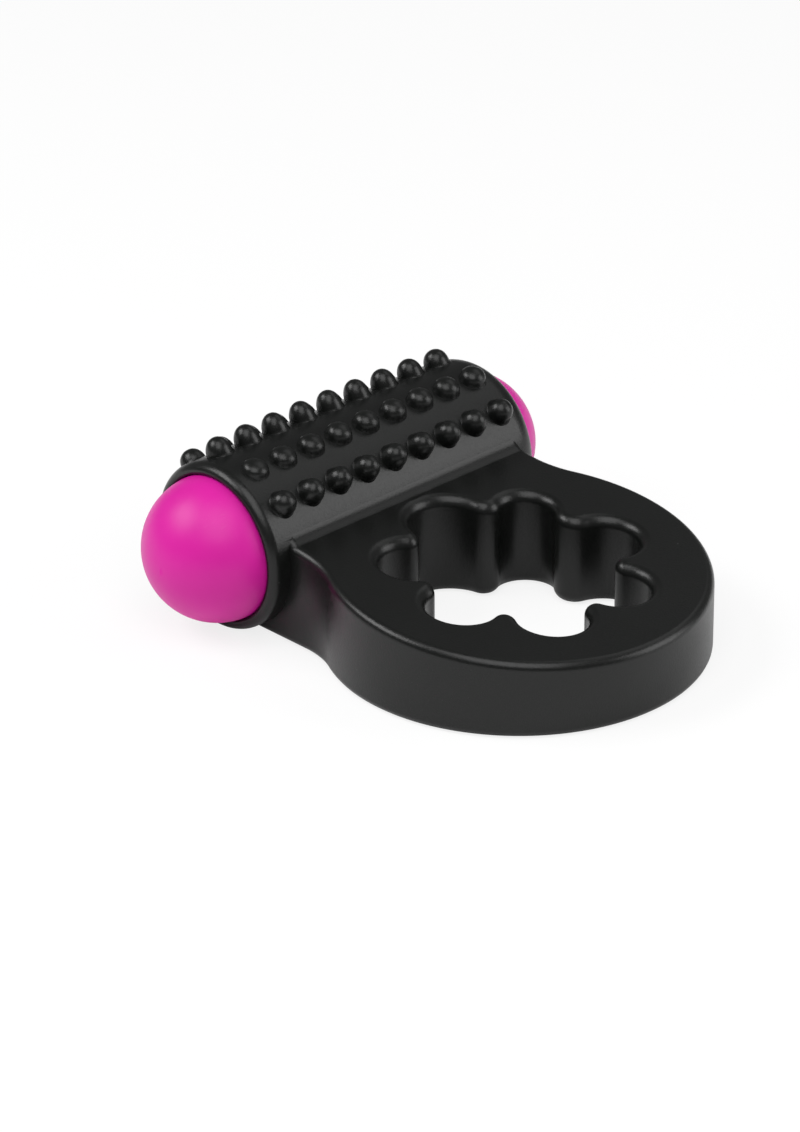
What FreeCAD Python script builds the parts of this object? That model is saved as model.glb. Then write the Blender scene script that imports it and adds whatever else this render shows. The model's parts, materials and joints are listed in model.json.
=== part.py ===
"""Vibrating ring massager: a soft moulded sleeve and ring, and a removable bullet capsule.

Units are millimetres. +Z is up and the part lies on z = 0. The origin is on that plane, on the
axis of the ring's scalloped hole. The barrel and the capsule lie along X, behind the hole.
"""
import FreeCAD, Part
import math
import os

from FreeCAD import Vector

# ---- soft sleeve: hole and ring ------------------------------------------------------------
LOBE_COUNT = 7                # scallops round the hole
LOBE_PITCH_RADIUS = 10.8      # hole axis to the centre of a scallop
LOBE_RADIUS = 3.7             # radius of one scallop
HOLE_INNER_RADIUS = 10.3      # hole axis to the tip of a tongue between two scallops
RING_WALL = 6.05              # outside of the ring to the bottom of a scallop
RING_HEIGHT = 10.0            # height of the ring at the hole's axis
TOP_SLOPE = 5.6               # degrees that the ring's top face falls away from the barrel
EDGE_BEVEL = 0.6              # bevel along the rims of the ring and the hole

# ---- soft sleeve: barrel -------------------------------------------------------------------
BARREL_LENGTH = 39.0
BARREL_WALL = 1.25
LIP_SHOULDER = (0.85, 0.3)    # the rounded lip starts this far in, and drops this much
LIP_CREST = (0.25, 0.85)      # then this far in, and this much below the barrel, at the rim
BORE_CLEARANCE = 0.05         # round the capsule
WEB_WALL = 2.95               # between a scallop and the capsule's bore
WEB_INSET = 2.45              # the web is this much shorter than the barrel at each end
WEB_BLEND = 11.0              # hollow curve from the web's side into the ring
UNDERSIDE_FLAT = 0.35         # how deep the underside is cut into the barrel

# ---- soft sleeve: nubs ---------------------------------------------------------------------
NUB_HEIGHT = 1.8
LOW_NUB_HEIGHT = 1.2          # on the inner row that faces the ring
NUB_BASE_RADIUS = 1.45        # where it leaves the barrel
NUB_TOP_RADIUS = 0.85
NUB_PITCH = 3.98
NUB_END_MARGIN = 3.0          # from a rim to the centre of the first nub, at least
NUB_ROOT = 0.5                # how deep a nub's root reaches into the wall
INNER_ROW_ANGLE = 17.2        # degrees from the top of the barrel
OUTER_ROW_ANGLE = 47.3

# ---- capsule shell -------------------------------------------------------------------------
CAPSULE_RADIUS = 8.0
TIP_REACH = 7.55              # how far the domed tip stands out of the barrel
SHELL_WALL = 1.4
NOSE_ANGLES = (35.0, 68.0)    # degrees round the tip where the taper of its bore changes
THREAD_LENGTH = 6.0
THREAD_WALL = 1.0             # wall left outside the screwed joint
THREAD_DEPTH = 0.35           # room for the screw thread, which is left off both pieces
THREAD_CLEARANCE = 0.05
SPIGOT_WALL = 0.5
PARTING_BEVEL = 0.15          # bevel of both pieces where their outsides meet
CAP_LENGTH = 12.0             # parting line to the pole of the cap
CAP_CROWN = 3.9               # thickness of the cap at its pole

# ---- seal ----------------------------------------------------------------------------------
SEAL_SIDE = 0.56              # side of the seal ring's square section
SEAL_CLEARANCE = 0.04
SEAL_GROOVE_WIDTH = 0.9
SEAL_SHOULDER = 0.5           # parting line to the groove

# ---- motor ---------------------------------------------------------------------------------
CRADLE_WALL = 1.5             # the soft cradle between the can and the shell, where it is thinnest
CAN_FLAT_DEPTH = 1.0          # how deep each of the can's two flats is cut
CAN_LENGTH = 11.0
CAN_WALL = 0.3
WEIGHT_INSET = 0.8            # the weight's radius is this much less than the can's
WEIGHT_LENGTH = 4.0
WEIGHT_DOME_GAP = 0.6         # swing clearance inside the domed tip
WEIGHT_HUB_RADIUS = 1.5
WEIGHT_GAP = 0.2              # between the weight and the nose bush
SHAFT_RADIUS = 0.5
SHAFT_CLEARANCE = 0.03
BUSH_RADIUS = 1.6
BUSH_LENGTH = 1.4
BUSH_NOSE = 0.6               # how far the bush stands out of the can
BELL_LENGTH = 2.2
MAGNET_WALL = 0.6
ARMATURE_LENGTH = 6.5
ARMATURE_GAP = 0.2
ARMATURE_POLES = 3
ARMATURE_SLOT = 0.9
FIT_CLEARANCE = 0.05          # between pieces that are simply pushed together

# ---- cells and contacts --------------------------------------------------------------------
CELL_COUNT = 3
CELL_HEIGHT = 5.4
CELL_CLEARANCE = 0.15         # round a cell in its holder
CELL_POLE_MARGIN = 1.2        # the raised negative face stays this far inside the cell's edge
CELL_POLE_HEIGHT = 0.35
HOLDER_WALL = 0.6
HOLDER_FLOOR = 1.2
CONTACT_THICKNESS = 0.3
FRONT_CONTACT_MARGIN = 1.6    # the front contact stays this far inside the cell's edge
TERMINAL_WIDTH = 1.2
TERMINAL_OFFSET = 2.4         # from the axis to a terminal
TERMINAL_GAP = 0.6            # between the motor and the cell holder
STRIP_WIDTH = 2.0
STRIP_THICKNESS = 0.2

# ---- switch --------------------------------------------------------------------------------
SPRING_HEIGHT = 2.4
SPRING_WIRE = 0.4             # side of its square wire
SPRING_BASE_RADIUS = 3.6
SPRING_TOP_RADIUS = 2.0
SPRING_TURNS = 2
BOARD_THICKNESS = 0.8
BOARD_LEDGE = 0.7             # the board rests on this much of the cap, all round
CLIP_WIDTH = 0.9
CLIP_THICKNESS = 0.7
CLIP_GAP = 2.0                # opening of the split clip
SWITCH_SIDE = 6.0
SWITCH_CORNER = 0.5
SWITCH_HEIGHT = 3.1
PLUNGER_RADIUS = 1.6
PLUNGER_REACH = 0.8
PLUNGER_DEPTH = 1.0           # length of the plunger inside its housing
BUTTON_RADIUS = 3.0
BUTTON_CLEARANCE = 0.05
BUTTON_TRAVEL = 0.3
BUTTON_FLANGE = 0.9           # how much wider the flange is than the button
BUTTON_FLANGE_THICKNESS = 0.6
BUTTON_PROUD = 0.25
GASKET_THICKNESS = 0.6
GASKET_GAP = 0.15

# ---- working values ------------------------------------------------------------------------
OVERCUT = 1.0                 # how far a cutting form runs past the face it cuts
TOUCH = 0.01                  # two places this close are the same place

# ---- places along and across, worked out from the sizes above --------------------------------
BORE_RADIUS = CAPSULE_RADIUS + BORE_CLEARANCE
BARREL_RADIUS = BORE_RADIUS + BARREL_WALL
LOBE_REACH = LOBE_PITCH_RADIUS + LOBE_RADIUS
RING_RADIUS = LOBE_REACH + RING_WALL
AXIS_Y = LOBE_REACH + WEB_WALL + BORE_RADIUS
AXIS_Z = BARREL_RADIUS - UNDERSIDE_FLAT
WEB_HALF_WIDTH = BARREL_LENGTH / 2 - WEB_INSET

SHELL_INNER = CAPSULE_RADIUS - SHELL_WALL
CAN_RADIUS = SHELL_INNER - CRADLE_WALL - 2 * FIT_CLEARANCE
CAN_HALF_FLAT = CAN_RADIUS - CAN_FLAT_DEPTH
WEIGHT_RADIUS = CAN_RADIUS - WEIGHT_INSET
TIP_X = -BARREL_LENGTH / 2 - TIP_REACH
TIP_CENTRE_X = TIP_X + CAPSULE_RADIUS
WEIGHT_X = TIP_CENTRE_X - math.sqrt((SHELL_INNER - WEIGHT_DOME_GAP) ** 2 - WEIGHT_RADIUS ** 2)
CAN_X = WEIGHT_X + WEIGHT_LENGTH + WEIGHT_GAP + BUSH_NOSE
BELL_X = CAN_X + CAN_LENGTH
HOLDER_X = BELL_X + BELL_LENGTH + TERMINAL_GAP
CELLS_X = HOLDER_X + HOLDER_FLOOR + CONTACT_THICKNESS
CELLS_END_X = CELLS_X + CELL_COUNT * CELL_HEIGHT
BOARD_X = CELLS_END_X + SPRING_HEIGHT
SWITCH_X = BOARD_X + BOARD_THICKNESS
FLANGE_X = SWITCH_X + SWITCH_HEIGHT + PLUNGER_REACH
GASKET_X = FLANGE_X + BUTTON_FLANGE_THICKNESS
CROWN_X = GASKET_X + GASKET_THICKNESS
END_X = CROWN_X + CAP_CROWN
END_CENTRE_X = END_X - CAPSULE_RADIUS
PARTING_X = END_X - CAP_LENGTH
SPIGOT_X = PARTING_X - THREAD_LENGTH

SOCKET_RADIUS = CAPSULE_RADIUS - THREAD_WALL
SPIGOT_RADIUS = SOCKET_RADIUS - THREAD_CLEARANCE - THREAD_DEPTH
SPIGOT_BORE = SPIGOT_RADIUS - SPIGOT_WALL
SEAL_SEAT = SOCKET_RADIUS - 2 * SEAL_CLEARANCE - SEAL_SIDE
HOLDER_RADIUS = SHELL_INNER - FIT_CLEARANCE
HOLDER_BORE = HOLDER_RADIUS - HOLDER_WALL
CELL_RADIUS = HOLDER_BORE - CELL_CLEARANCE
CELL_POLE_RADIUS = CELL_RADIUS - CELL_POLE_MARGIN
FRONT_CONTACT_RADIUS = CELL_RADIUS - FRONT_CONTACT_MARGIN
HOLDER_END_X = SPIGOT_X - CONTACT_THICKNESS
BOARD_RADIUS = SPIGOT_BORE - FIT_CLEARANCE
FLANGE_RADIUS = BUTTON_RADIUS + BUTTON_FLANGE
MAGNET_RADIUS = CAN_HALF_FLAT - CAN_WALL
ARMATURE_RADIUS = MAGNET_RADIUS - MAGNET_WALL - ARMATURE_GAP
ARMATURE_X = (CAN_X - BUSH_NOSE + BUSH_LENGTH + BELL_X - ARMATURE_LENGTH) / 2
STRIP_OUTER = HOLDER_RADIUS - FIT_CLEARANCE

X_AXIS = Vector(1, 0, 0)
Z_AXIS = Vector(0, 0, 1)


# ---- small helpers: pieces are turned on the X axis, then put on the capsule's axis ----------
def rod(x0, x1, radius):
    return Part.makeCylinder(radius, x1 - x0, Vector(x0, 0, 0), X_AXIS)


def pipe(x0, x1, outer, inner):
    return rod(x0, x1, outer).cut(rod(x0 - OVERCUT, x1 + OVERCUT, inner))


def block(x0, x1, y0, y1, z0, z1):
    return Part.makeBox(x1 - x0, y1 - y0, z1 - z0, Vector(x0, y0, z0))


def flattened(x0, x1, radius, half_flat):
    """A rod with two flats, above and below."""
    return rod(x0, x1, radius).common(block(x0, x1, -radius, radius, -half_flat, half_flat))


def turned(points):
    """A solid of revolution about X from a closed outline of (x, radius) points."""
    corners = [Vector(x, 0, radius) for x, radius in points]
    outline = Part.makePolygon(corners + corners[:1])
    return Part.Face(outline).revolve(Vector(0, 0, 0), X_AXIS, 360)


def half_ball(x, radius, side):
    """Half a ball centred on the X axis, domed towards +X for side 1 and towards -X for side -1."""
    centre = Vector(x, 0, 0)
    pole = Vector(x + side * radius, 0, 0)
    equator = Vector(x, 0, radius)
    outline = Part.Wire([
        Part.makeLine(centre, pole),
        arc_about(centre, pole, equator),
        Part.makeLine(equator, centre),
    ])
    return Part.Face(outline).revolve(Vector(0, 0, 0), X_AXIS, 360)


def on_axis(shape):
    shape.translate(Vector(0, AXIS_Y, AXIS_Z))
    return shape


def polar(radius, degrees):
    """A point on the floor plane; zero degrees is straight towards the barrel."""
    angle = math.radians(degrees)
    return Vector(radius * math.sin(angle), radius * math.cos(angle), 0)


def arc(start, middle, end):
    return Part.Arc(start, middle, end).toShape()


def arc_about(centre, start, end):
    """The arc of a circle from start to end, on the short way round."""
    middle = (start + end) / 2 - centre
    middle.normalize()
    return arc(start, centre + middle * (start - centre).Length, end)


# ---- the soft sleeve: ring -------------------------------------------------------------------
def tongue_radius():
    """Radius of the tongue between two scallops, so that each arc is tangent to the next."""
    half = math.radians(180.0 / LOBE_COUNT)
    reach = LOBE_PITCH_RADIUS * math.cos(half)
    excess = LOBE_PITCH_RADIUS ** 2 + HOLE_INNER_RADIUS ** 2 - LOBE_RADIUS ** 2
    excess -= 2 * reach * HOLE_INNER_RADIUS
    return excess / (2 * (LOBE_RADIUS - HOLE_INNER_RADIUS + reach))


def hole_outline():
    """Scallops joined by rounded tongues, every arc tangent to the next."""
    step = 360.0 / LOBE_COUNT
    tongue = tongue_radius()
    share = LOBE_RADIUS / (LOBE_RADIUS + tongue)
    edges = []
    for number in range(LOBE_COUNT):
        angle = number * step
        lobe = polar(LOBE_PITCH_RADIUS, angle)
        next_lobe = polar(LOBE_PITCH_RADIUS, angle + step)
        before = polar(HOLE_INNER_RADIUS + tongue, angle - step / 2)
        after = polar(HOLE_INNER_RADIUS + tongue, angle + step / 2)
        start = lobe + (before - lobe) * share
        end = lobe + (after - lobe) * share
        next_start = next_lobe + (after - next_lobe) * share
        edges.append(arc(start, polar(LOBE_REACH, angle), end))
        edges.append(arc(end, polar(HOLE_INNER_RADIUS, angle + step / 2), next_start))
    return Part.Wire(edges)


def ring_outline():
    """The ring's circle, running through two hollow curves into the straight sides of the web."""
    blend_x = WEB_HALF_WIDTH + WEB_BLEND
    blend_y = math.sqrt((WEB_BLEND + RING_RADIUS) ** 2 - blend_x ** 2)
    share = RING_RADIUS / (RING_RADIUS + WEB_BLEND)
    edges = []
    corners = {}
    for side in (1, -1):
        blend = Vector(side * blend_x, blend_y, 0)
        foot = Vector(side * WEB_HALF_WIDTH, blend_y, 0)
        touch = blend * share
        back = Vector(side * WEB_HALF_WIDTH, AXIS_Y, 0)
        edges.append(arc_about(blend, foot, touch))
        edges.append(Part.makeLine(foot, back))
        corners[side] = (touch, back)
    edges.append(arc(corners[1][0], Vector(0, -RING_RADIUS, 0), corners[-1][0]))
    edges.append(Part.makeLine(corners[1][1], corners[-1][1]))
    return Part.Wire(Part.__sortEdges__(edges))


def top_height(y):
    return RING_HEIGHT + y * math.tan(math.radians(TOP_SLOPE))


def ring_side():
    """The ring seen from the end of the barrel: flat below, falling away above."""
    front = -RING_RADIUS - OVERCUT
    corners = [
        Vector(0, front, 0),
        Vector(0, AXIS_Y, 0),
        Vector(0, AXIS_Y, top_height(AXIS_Y)),
        Vector(0, front, top_height(front)),
    ]
    face = Part.Face(Part.makePolygon(corners + corners[:1]))
    width = 2 * (RING_RADIUS + WEB_HALF_WIDTH)
    face.translate(Vector(-width / 2, 0, 0))
    return face.extrude(Vector(width, 0, 0))


def is_rim(edge):
    """True for the edges that lie in the top face or the underside, in front of the barrel."""
    ends = [vertex.Point for vertex in edge.Vertexes]
    if len(ends) < 2 or max(point.y for point in ends) > AXIS_Y + TOUCH:
        return False
    if min(point.y for point in ends) > AXIS_Y - TOUCH:
        return False
    below = all(abs(point.z) < TOUCH for point in ends)
    above = all(abs(point.z - top_height(point.y)) < TOUCH for point in ends)
    return below or above


def ring():
    tall = Part.Face(ring_outline()).extrude(Z_AXIS * 2 * RING_HEIGHT)
    hole = Part.Face(hole_outline()).extrude(Z_AXIS * 2 * RING_HEIGHT)
    body = tall.common(ring_side()).cut(hole)
    return body.makeChamfer(EDGE_BEVEL, [edge for edge in body.Edges if is_rim(edge)])


# ---- the soft sleeve: barrel and nubs --------------------------------------------------------
def lip(side):
    """Corners of the rounded lip at one end, from the barrel's outside to its end face."""
    shoulder_x, shoulder_drop = LIP_SHOULDER
    crest_x, crest_drop = LIP_CREST
    end = BARREL_LENGTH / 2
    return [(side * (end - shoulder_x), BARREL_RADIUS),
            (side * (end - crest_x), BARREL_RADIUS - shoulder_drop),
            (side * end, BARREL_RADIUS - crest_drop)]


def barrel():
    """A round barrel with rounded lips, still solid inside."""
    end = BARREL_LENGTH / 2
    return turned([(-end, 0)] + lip(-1)[::-1] + lip(1) + [(end, 0)])


def nub(height):
    """A blunt cone that leaves the barrel at z = 0 and runs on into its wall."""
    taper = (NUB_BASE_RADIUS - NUB_TOP_RADIUS) / height
    foot_radius = NUB_BASE_RADIUS + taper * NUB_ROOT
    return Part.makeCone(foot_radius, NUB_TOP_RADIUS, NUB_ROOT + height, Vector(0, 0, -NUB_ROOT))


def nubs():
    count = int((BARREL_LENGTH - 2 * NUB_END_MARGIN) / NUB_PITCH) + 1
    pieces = []
    rows = [(-OUTER_ROW_ANGLE, NUB_HEIGHT), (-INNER_ROW_ANGLE, NUB_HEIGHT),
            (INNER_ROW_ANGLE, LOW_NUB_HEIGHT), (OUTER_ROW_ANGLE, NUB_HEIGHT)]
    for angle, height in rows:
        for number in range(count):
            piece = nub(height)
            piece.translate(Vector((number - (count - 1) / 2) * NUB_PITCH, 0, BARREL_RADIUS))
            piece.rotate(Vector(0, 0, 0), X_AXIS, angle)
            pieces.append(piece)
    return pieces


def ring_sleeve():
    body = on_axis(barrel()).fuse(ring())
    body = body.multiFuse([on_axis(piece) for piece in nubs()])
    side = RING_RADIUS + OVERCUT
    back = AXIS_Y + BARREL_RADIUS + NUB_HEIGHT
    body = body.cut(block(-side, side, -side, back, -RING_HEIGHT, 0))
    reach = BARREL_LENGTH / 2 + OVERCUT
    body = body.cut(on_axis(rod(-reach, reach, BORE_RADIUS)))
    return body.removeSplitter()


# ---- capsule: shell, cap and seal --------------------------------------------------------------
def capsule_outside(centre_x, side):
    """The outside from a domed end to the parting line, where its edge is bevelled."""
    body = half_ball(centre_x, CAPSULE_RADIUS, side)
    body = body.fuse(rod(min(centre_x, PARTING_X), max(centre_x, PARTING_X), CAPSULE_RADIUS))
    body = body.removeSplitter()
    rim = [edge for edge in body.Edges if edge.Closed and abs(edge.BoundBox.Center.x - PARTING_X) < TOUCH]
    return body.makeChamfer(PARTING_BEVEL, rim)


def shell_bore():
    """The shell's inside, closed at the tip by two tapers and a flat that follow the dome."""
    end = PARTING_X + OVERCUT
    points = [(end, 0), (end, SHELL_INNER), (TIP_CENTRE_X, SHELL_INNER)]
    for degrees in NOSE_ANGLES:
        angle = math.radians(degrees)
        points.append((TIP_CENTRE_X - SHELL_INNER * math.sin(angle), SHELL_INNER * math.cos(angle)))
    points.append((points[-1][0], 0))
    return turned(points)


def capsule_shell():
    socket = rod(SPIGOT_X, PARTING_X + OVERCUT, SOCKET_RADIUS)
    return capsule_outside(TIP_CENTRE_X, -1).cut(shell_bore()).cut(socket).removeSplitter()


def end_cap():
    spigot = rod(SPIGOT_X, PARTING_X + OVERCUT, SPIGOT_RADIUS)
    body = capsule_outside(END_CENTRE_X, 1).fuse(spigot)
    body = body.cut(rod(SPIGOT_X - OVERCUT, SWITCH_X, SPIGOT_BORE))
    body = body.cut(rod(SWITCH_X - OVERCUT, SWITCH_X + SWITCH_HEIGHT, SPIGOT_BORE - BOARD_LEDGE))
    body = body.cut(rod(SWITCH_X, CROWN_X, FLANGE_RADIUS + 2 * BUTTON_CLEARANCE))
    body = body.cut(rod(CROWN_X - OVERCUT, END_X + OVERCUT, BUTTON_RADIUS + BUTTON_CLEARANCE))
    groove_end = PARTING_X - SEAL_SHOULDER
    groove = pipe(groove_end - SEAL_GROOVE_WIDTH, groove_end, SPIGOT_RADIUS + OVERCUT, SEAL_SEAT)
    return body.cut(groove).cut(cap_strip_groove()).removeSplitter()


def cap_seal():
    """A square-cut rubber ring in the middle of the cap's groove."""
    middle = PARTING_X - SEAL_SHOULDER - SEAL_GROOVE_WIDTH / 2
    inner = SEAL_SEAT + SEAL_CLEARANCE
    return pipe(middle - SEAL_SIDE / 2, middle + SEAL_SIDE / 2, inner + SEAL_SIDE, inner)


# ---- capsule: motor ------------------------------------------------------------------------------
def eccentric_weight():
    x1 = WEIGHT_X + WEIGHT_LENGTH
    lower_half = block(WEIGHT_X, x1, -WEIGHT_RADIUS, WEIGHT_RADIUS, -WEIGHT_RADIUS, 0)
    half_disc = rod(WEIGHT_X, x1, WEIGHT_RADIUS).common(lower_half)
    weight = half_disc.fuse(rod(WEIGHT_X, x1, WEIGHT_HUB_RADIUS))
    return weight.cut(rod(WEIGHT_X - OVERCUT, x1 + OVERCUT, SHAFT_RADIUS)).removeSplitter()


def motor_shaft():
    return rod(WEIGHT_X, BELL_X + BELL_LENGTH / 2, SHAFT_RADIUS)


def nose_bush():
    nose = CAN_X - BUSH_NOSE
    return pipe(nose, nose + BUSH_LENGTH, BUSH_RADIUS, SHAFT_RADIUS + SHAFT_CLEARANCE)


def motor_can():
    outside = flattened(CAN_X, BELL_X, CAN_RADIUS, CAN_HALF_FLAT)
    inside = flattened(CAN_X + CAN_WALL, BELL_X + OVERCUT, CAN_RADIUS - CAN_WALL, MAGNET_RADIUS)
    return outside.cut(inside).cut(rod(CAN_X - OVERCUT, CAN_X + OVERCUT, BUSH_RADIUS))


def motor_magnet():
    x1 = ARMATURE_X + ARMATURE_LENGTH
    return pipe(ARMATURE_X, x1, MAGNET_RADIUS, MAGNET_RADIUS - MAGNET_WALL)


def motor_armature():
    """The wound core, with a slot between each two of its poles."""
    x0 = ARMATURE_X - OVERCUT
    x1 = ARMATURE_X + ARMATURE_LENGTH + OVERCUT
    core = pipe(ARMATURE_X, ARMATURE_X + ARMATURE_LENGTH, ARMATURE_RADIUS, SHAFT_RADIUS)
    for number in range(ARMATURE_POLES):
        slot = block(x0, x1, ARMATURE_RADIUS / 2, ARMATURE_RADIUS + OVERCUT,
                     -ARMATURE_SLOT / 2, ARMATURE_SLOT / 2)
        slot.rotate(Vector(0, 0, 0), X_AXIS, number * 360.0 / ARMATURE_POLES)
        core = core.cut(slot)
    return core


def motor_end_bell():
    x1 = BELL_X + BELL_LENGTH
    socket_end = BELL_X + BELL_LENGTH / 2 + FIT_CLEARANCE
    bell = flattened(BELL_X, x1, CAN_RADIUS, CAN_HALF_FLAT)
    bell = bell.cut(rod(BELL_X - OVERCUT, socket_end, SHAFT_RADIUS + SHAFT_CLEARANCE))
    return bell.cut(terminal_form(1, FIT_CLEARANCE)).cut(terminal_form(-1, FIT_CLEARANCE))


def motor_cradle():
    """Soft sleeve that fills the space between the flattened can and the round shell."""
    room = FIT_CLEARANCE
    inside = flattened(CAN_X - OVERCUT, BELL_X + OVERCUT, CAN_RADIUS + room, CAN_HALF_FLAT + room)
    return rod(CAN_X, BELL_X, SHELL_INNER - room).cut(inside)


# ---- capsule: cells and contacts -----------------------------------------------------------------
def button_cell(number):
    x0 = CELLS_X + number * CELL_HEIGHT
    x1 = x0 + CELL_HEIGHT
    shoulder = x1 - CELL_POLE_HEIGHT
    return rod(x0, shoulder, CELL_RADIUS).fuse(rod(shoulder, x1, CELL_POLE_RADIUS))


def cell_holder():
    holder = pipe(HOLDER_X, HOLDER_END_X, HOLDER_RADIUS, HOLDER_BORE)
    floor = rod(HOLDER_X, HOLDER_X + HOLDER_FLOOR, HOLDER_RADIUS)
    holder = holder.fuse(floor).removeSplitter()
    return holder.cut(terminal_form(1, FIT_CLEARANCE)).cut(side_strip_groove())


def front_contact():
    return rod(CELLS_X - CONTACT_THICKNESS, CELLS_X, FRONT_CONTACT_RADIUS)


def terminal_form(side, room=0.0):
    """A flat blade from the motor's end bell; side 1 runs on to the cells' front contact."""
    x0 = BELL_X + BELL_LENGTH / 2 - room
    x1 = CELLS_X - CONTACT_THICKNESS if side > 0 else HOLDER_X - FIT_CLEARANCE
    y = side * TERMINAL_OFFSET
    half_width = TERMINAL_WIDTH / 2 + room
    half_thickness = CONTACT_THICKNESS / 2 + room
    return block(x0, x1, y - half_thickness, y + half_thickness, -half_width, half_width)


def terminal_negative():
    """The second blade turns outwards in front of the cell holder and meets the side strip."""
    x1 = HOLDER_X - FIT_CLEARANCE
    half_width = TERMINAL_WIDTH / 2
    foot = block(x1 - CONTACT_THICKNESS, x1, -STRIP_OUTER, -TERMINAL_OFFSET, -half_width, half_width)
    return terminal_form(-1).fuse(foot).removeSplitter()


def strip(x0, x1, inner, outer, side, width):
    """A thin curved strip that lies along a bore, on its +Y side or its -Y side."""
    half = width / 2
    y0 = -outer if side < 0 else 0
    y1 = 0 if side < 0 else outer
    return pipe(x0, x1, outer, inner).common(block(x0, x1, y0, y1, -half, half))


def side_strip():
    """The return contact, in a groove just under the holder's outer face."""
    return strip(HOLDER_X - FIT_CLEARANCE, HOLDER_END_X, STRIP_OUTER - STRIP_THICKNESS, STRIP_OUTER,
                 -1, STRIP_WIDTH)


def side_strip_groove():
    floor = STRIP_OUTER - STRIP_THICKNESS - FIT_CLEARANCE
    return strip(HOLDER_X - OVERCUT, HOLDER_END_X + OVERCUT, floor, HOLDER_RADIUS + OVERCUT,
                 -1, STRIP_WIDTH + 2 * FIT_CLEARANCE)


def contact_ring():
    """Fixed ring at the end of the holder; the cap's strip bears on it when it is screwed home."""
    return pipe(HOLDER_END_X, SPIGOT_X, HOLDER_RADIUS, HOLDER_BORE)


def cap_strip():
    """The strip in the cap's bore, from the board's face down to the fixed contact ring."""
    return strip(SPIGOT_X, BOARD_X, SPIGOT_BORE, SPIGOT_BORE + STRIP_THICKNESS, 1, STRIP_WIDTH)


def cap_strip_groove():
    roof = SPIGOT_BORE + STRIP_THICKNESS + FIT_CLEARANCE
    return strip(SPIGOT_X - OVERCUT, BOARD_X, SPIGOT_BORE - OVERCUT, roof,
                 1, STRIP_WIDTH + 2 * FIT_CLEARANCE)


# ---- capsule: switch -----------------------------------------------------------------------------
def contact_spring():
    """A small conical coil of square wire, from the board down to the last cell."""
    half = SPRING_WIRE / 2
    height = BOARD_X - CELLS_END_X - SPRING_WIRE
    lean = math.degrees(math.atan2(SPRING_BASE_RADIUS - SPRING_TOP_RADIUS, height))
    path = Part.makeHelix(height / SPRING_TURNS, height, SPRING_TOP_RADIUS, lean)
    corners = [
        Vector(SPRING_TOP_RADIUS - half, 0, -half),
        Vector(SPRING_TOP_RADIUS + half, 0, -half),
        Vector(SPRING_TOP_RADIUS + half, 0, half),
        Vector(SPRING_TOP_RADIUS - half, 0, half),
    ]
    section = Part.makePolygon(corners + corners[:1])
    coil = Part.Wire(path.Edges).makePipeShell([section], True, True)
    coil.rotate(Vector(0, 0, 0), Vector(0, 1, 0), 90)
    coil.translate(Vector(CELLS_END_X + half, 0, 0))
    return coil


def switch_board():
    return rod(BOARD_X, SWITCH_X, BOARD_RADIUS)


def board_clip():
    """A split spring ring that holds the board against its ledge."""
    x0 = BOARD_X - CLIP_THICKNESS
    whole = pipe(x0, BOARD_X, BOARD_RADIUS, BOARD_RADIUS - CLIP_WIDTH)
    return whole.cut(block(x0, BOARD_X, 0, BOARD_RADIUS, -CLIP_GAP / 2, CLIP_GAP / 2))


def switch_housing():
    half = SWITCH_SIDE / 2
    x1 = SWITCH_X + SWITCH_HEIGHT
    housing = block(SWITCH_X, x1, -half, half, -half, half)
    upright = [edge for edge in housing.Edges if edge.BoundBox.XLength > TOUCH and
               edge.BoundBox.YLength < TOUCH and edge.BoundBox.ZLength < TOUCH]
    housing = housing.makeChamfer(SWITCH_CORNER, upright)
    well = x1 - PLUNGER_DEPTH - BUTTON_TRAVEL - FIT_CLEARANCE
    return housing.cut(rod(well, x1 + OVERCUT, PLUNGER_RADIUS + BUTTON_CLEARANCE))


def switch_plunger():
    return rod(SWITCH_X + SWITCH_HEIGHT - PLUNGER_DEPTH, FLANGE_X, PLUNGER_RADIUS)


def push_button():
    """A flanged button whose face follows the cap's dome."""
    dome = half_ball(END_CENTRE_X, CAPSULE_RADIUS + BUTTON_PROUD, 1)
    head = rod(FLANGE_X, END_X + OVERCUT, BUTTON_RADIUS).common(dome)
    return head.fuse(rod(FLANGE_X, GASKET_X, FLANGE_RADIUS)).removeSplitter()


def button_gasket():
    return pipe(GASKET_X, CROWN_X, FLANGE_RADIUS, BUTTON_RADIUS + GASKET_GAP)


# ---- every node of the part ------------------------------------------------------------------------
def capsule_pieces():
    """The capsule's pieces, each on its own axis."""
    pieces = {
        "capsule_shell": capsule_shell(),
        "end_cap": end_cap(),
        "cap_seal": cap_seal(),
        "eccentric_weight": eccentric_weight(),
        "motor_shaft": motor_shaft(),
        "nose_bush": nose_bush(),
        "motor_can": motor_can(),
        "motor_magnet": motor_magnet(),
        "motor_armature": motor_armature(),
        "motor_end_bell": motor_end_bell(),
        "motor_cradle": motor_cradle(),
        "terminal_positive": terminal_form(1),
        "terminal_negative": terminal_negative(),
        "front_contact": front_contact(),
        "cell_holder": cell_holder(),
        "side_strip": side_strip(),
        "contact_ring": contact_ring(),
        "cap_strip": cap_strip(),
        "contact_spring": contact_spring(),
        "switch_board": switch_board(),
        "board_clip": board_clip(),
        "switch_housing": switch_housing(),
        "switch_plunger": switch_plunger(),
        "push_button": push_button(),
        "button_gasket": button_gasket(),
    }
    for number in range(CELL_COUNT):
        pieces["button_cell_%d" % (number + 1)] = button_cell(number)
    return pieces


def main():
    os.makedirs("parts", exist_ok=True)
    nodes = {"ring_sleeve": ring_sleeve()}
    for name, shape in capsule_pieces().items():
        nodes[name] = on_axis(shape)
    for name, shape in nodes.items():
        shape.exportStep("parts/%s.step" % name)
        print("%-18s solids %d  valid %s  volume %9.2f mm3" % (
            name, len(shape.Solids), shape.isValid(), shape.Volume))


main()
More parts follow.
